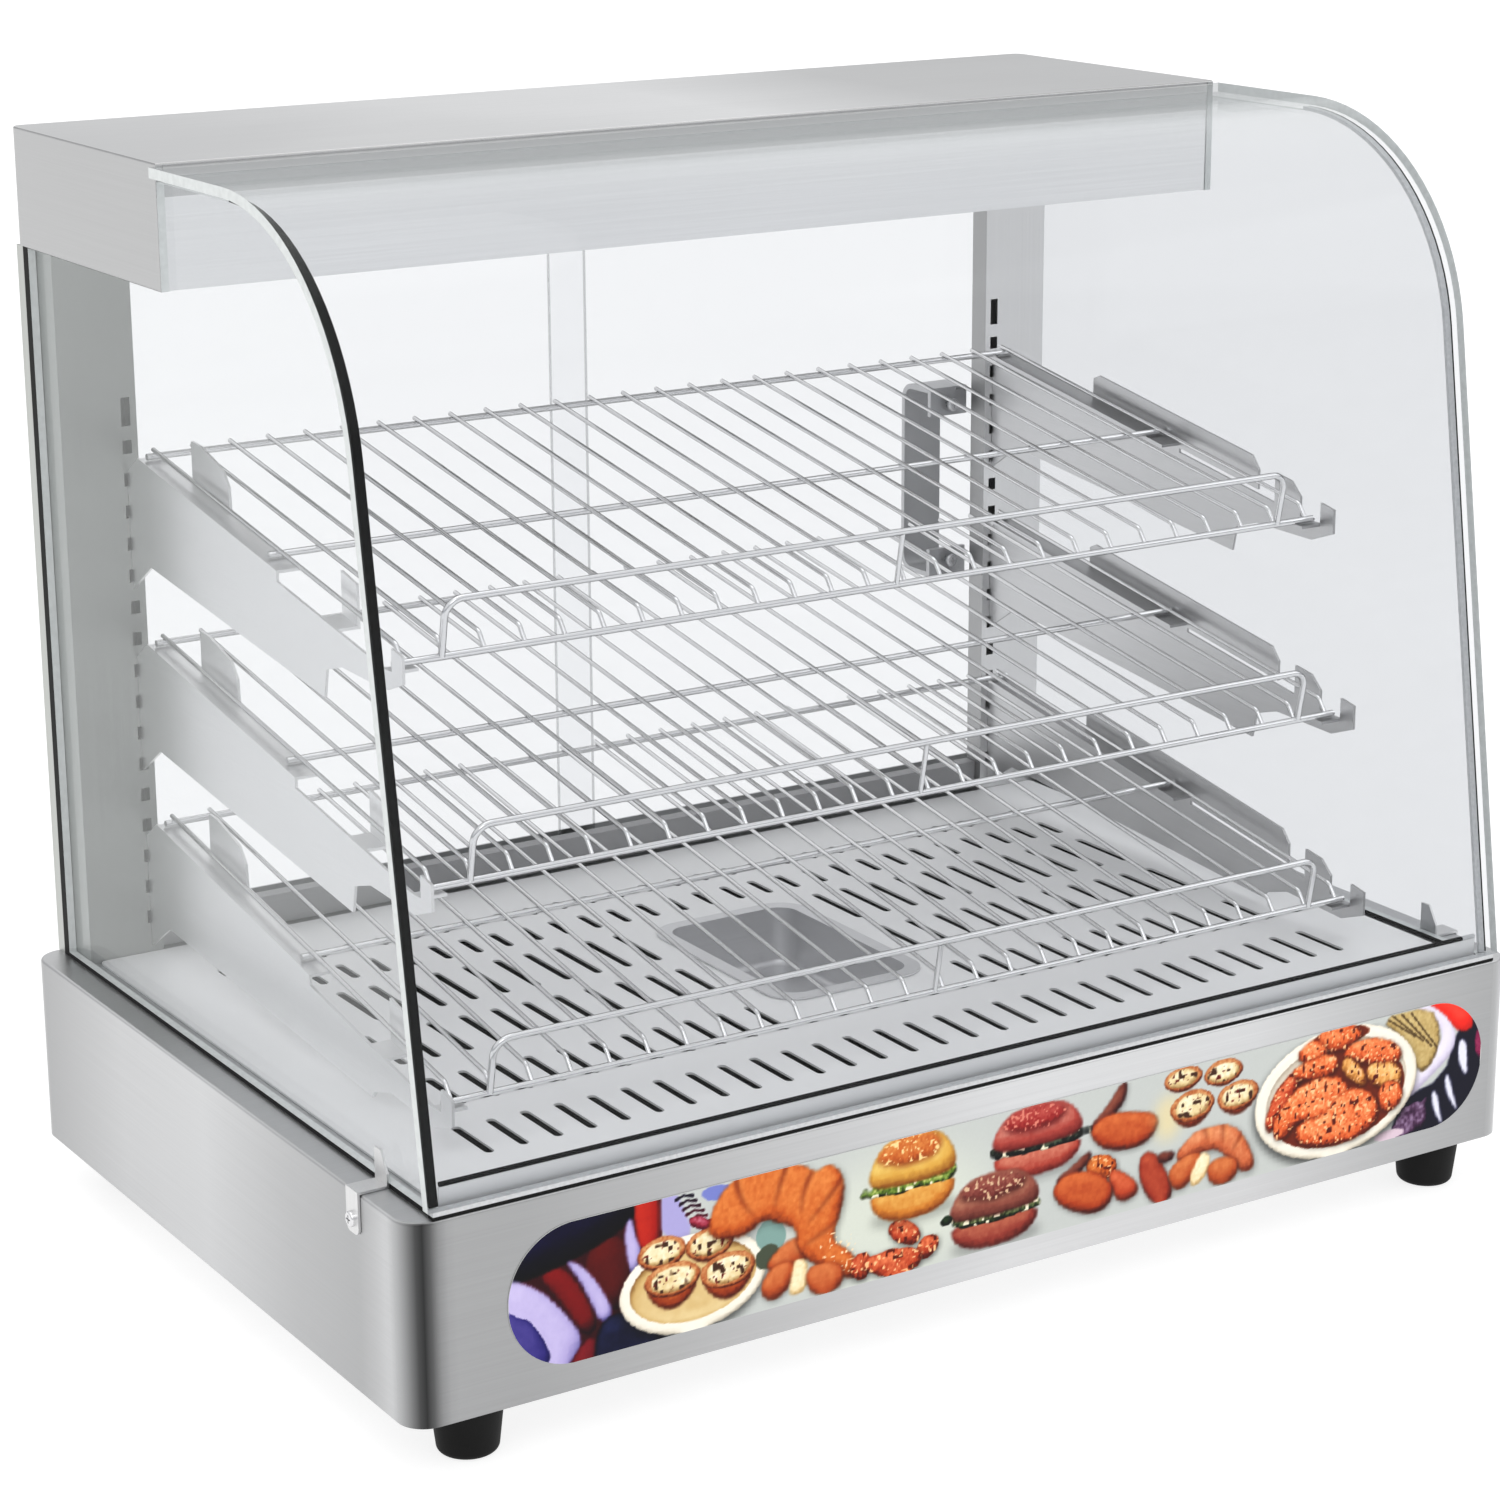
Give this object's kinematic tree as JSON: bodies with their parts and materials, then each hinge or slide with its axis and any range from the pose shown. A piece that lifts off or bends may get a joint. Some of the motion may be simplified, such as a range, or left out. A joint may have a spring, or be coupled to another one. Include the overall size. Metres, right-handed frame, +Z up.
{
  "type": "hot food display case",
  "caption": "Counter-top heated food display case with curved front glass, sloping wire shelves, slotted warm floor with water tray and rear sliding glass doors.",
  "frame": {"origin": "on the counter, under the middle of the whole case, door handles included", "axes": "+X along the case to the right as the customer sees it, +Y towards the server's side with the doors, +Z up"},
  "size_m": [0.6672, 0.4618, 0.565],
  "materials": {
    "casing_steel": "brushed",
    "plate_steel": "satin",
    "floor_steel": "satin",
    "tray_steel": "satin",
    "post_steel": "satin",
    "bracket_steel": "satin",
    "clip_steel": "satin",
    "handle_steel": "satin",
    "screw_steel": "bright",
    "shelf_chrome": "bright",
    "element_sheath": "oxidised",
    "strip_aluminium": "satin",
    "sill_metal": "satin",
    "clear_glass": "clear",
    "lamp_glass": "frosted white",
    "black_rubber": "matt",
    "black_plastic": "fine texture",
    "rocker_plastic": "gloss",
    "white_plastic": "matt",
    "lamp_lens": "clear amber",
    "printed_panel": "printed, laminated"
  },
  "bodies": {
    "case": {"base_shell": "casing_steel", "base_bottom_plate": "plate_steel", "control_panel": "plate_steel", "foot_front_left": "black_rubber", "foot_front_right": "black_rubber", "foot_rear_left": "black_rubber", "foot_rear_right": "black_rubber", "foot_screws": "screw_steel", "front_graphic_panel": "printed_panel", "floor_grille": "floor_steel", "element_pan": "plate_steel", "heating_element_left": "element_sheath", "heating_element_right": "element_sheath", "element_clips": "clip_steel", "thermostat_body": "black_plastic", "power_switch_body": "black_plastic", "light_switch_body": "black_plastic", "indicator_lamp": "lamp_lens", "cable_gland": "black_plastic", "post_left": "post_steel", "post_right": "post_steel", "side_glass_left": "clear_glass", "side_glass_right": "clear_glass", "glass_clip_left": "clip_steel", "glass_clip_right": "clip_steel", "roof_shell": "casing_steel", "roof_bottom_plate": "plate_steel", "lamp_tube": "lamp_glass", "lamp_holders": "white_plastic", "front_glass": "clear_glass", "side_glass_seals": "black_rubber", "front_glass_strip": "strip_aluminium", "front_glass_seals": "black_rubber", "glass_clamp_strip": "strip_aluminium", "case_screws": "screw_steel", "door_track_bottom": "strip_aluminium", "door_track_top": "strip_aluminium", "rear_sill": "sill_metal", "shelf_bracket_upper_left": "bracket_steel", "shelf_bracket_upper_right": "bracket_steel", "shelf_bracket_middle_left": "bracket_steel", "shelf_bracket_middle_right": "bracket_steel", "shelf_bracket_lower_left": "bracket_steel", "shelf_bracket_lower_right": "bracket_steel"},
    "water_tray": {"water_tray": "tray_steel"},
    "thermostat_control": {"thermostat_knob": "black_plastic", "thermostat_spindle": "screw_steel"},
    "power_button": {"power_rocker": "rocker_plastic"},
    "light_button": {"light_rocker": "rocker_plastic"},
    "shelf_upper": {"shelf_upper": "shelf_chrome"},
    "shelf_middle": {"shelf_middle": "shelf_chrome"},
    "shelf_lower": {"shelf_lower": "shelf_chrome"},
    "door_left": {"door_left_glass": "clear_glass", "door_left_handle": "handle_steel", "door_left_handle_screws": "screw_steel", "door_left_glides": "black_plastic"},
    "door_right": {"door_right_glass": "clear_glass", "door_right_handle": "handle_steel", "door_right_handle_screws": "screw_steel", "door_right_glides": "black_plastic"}
  },
  "joints": [
    {"name": "door_left_slide", "type": "slide", "parent": "case", "child": "door_left", "axis": [1, 0, 0], "range_m": [0, 0.225]},
    {"name": "door_right_slide", "type": "slide", "parent": "case", "child": "door_right", "axis": [1, 0, 0], "range_m": [-0.225, 0]},
    {"name": "thermostat_turn", "type": "hinge", "parent": "case", "child": "thermostat_control", "pos_m": [-0.072, 0.212, 0.075], "axis": [0, -1, 0], "range_deg": [0, 270]},
    {"name": "power_rocker_tilt", "type": "hinge", "parent": "case", "child": "power_button", "pos_m": [0.012, 0.2043, 0.075], "axis": [1, 0, 0], "range_deg": [0, 18]},
    {"name": "light_rocker_tilt", "type": "hinge", "parent": "case", "child": "light_button", "pos_m": [0.058, 0.2043, 0.075], "axis": [1, 0, 0], "range_deg": [0, 18]},
    {"name": "water_tray_lift", "type": "slide", "parent": "case", "child": "water_tray", "axis": [0, 0, 1], "range_m": [0, 0.03]},
    {"name": "shelf_upper_lift", "type": "slide", "parent": "case", "child": "shelf_upper", "axis": [0, 0, 1], "range_m": [0, 0.02]},
    {"name": "shelf_middle_lift", "type": "slide", "parent": "case", "child": "shelf_middle", "axis": [0, 0, 1], "range_m": [0, 0.02]},
    {"name": "shelf_lower_lift", "type": "slide", "parent": "case", "child": "shelf_lower", "axis": [0, 0, 1], "range_m": [0, 0.02]}
  ]
}
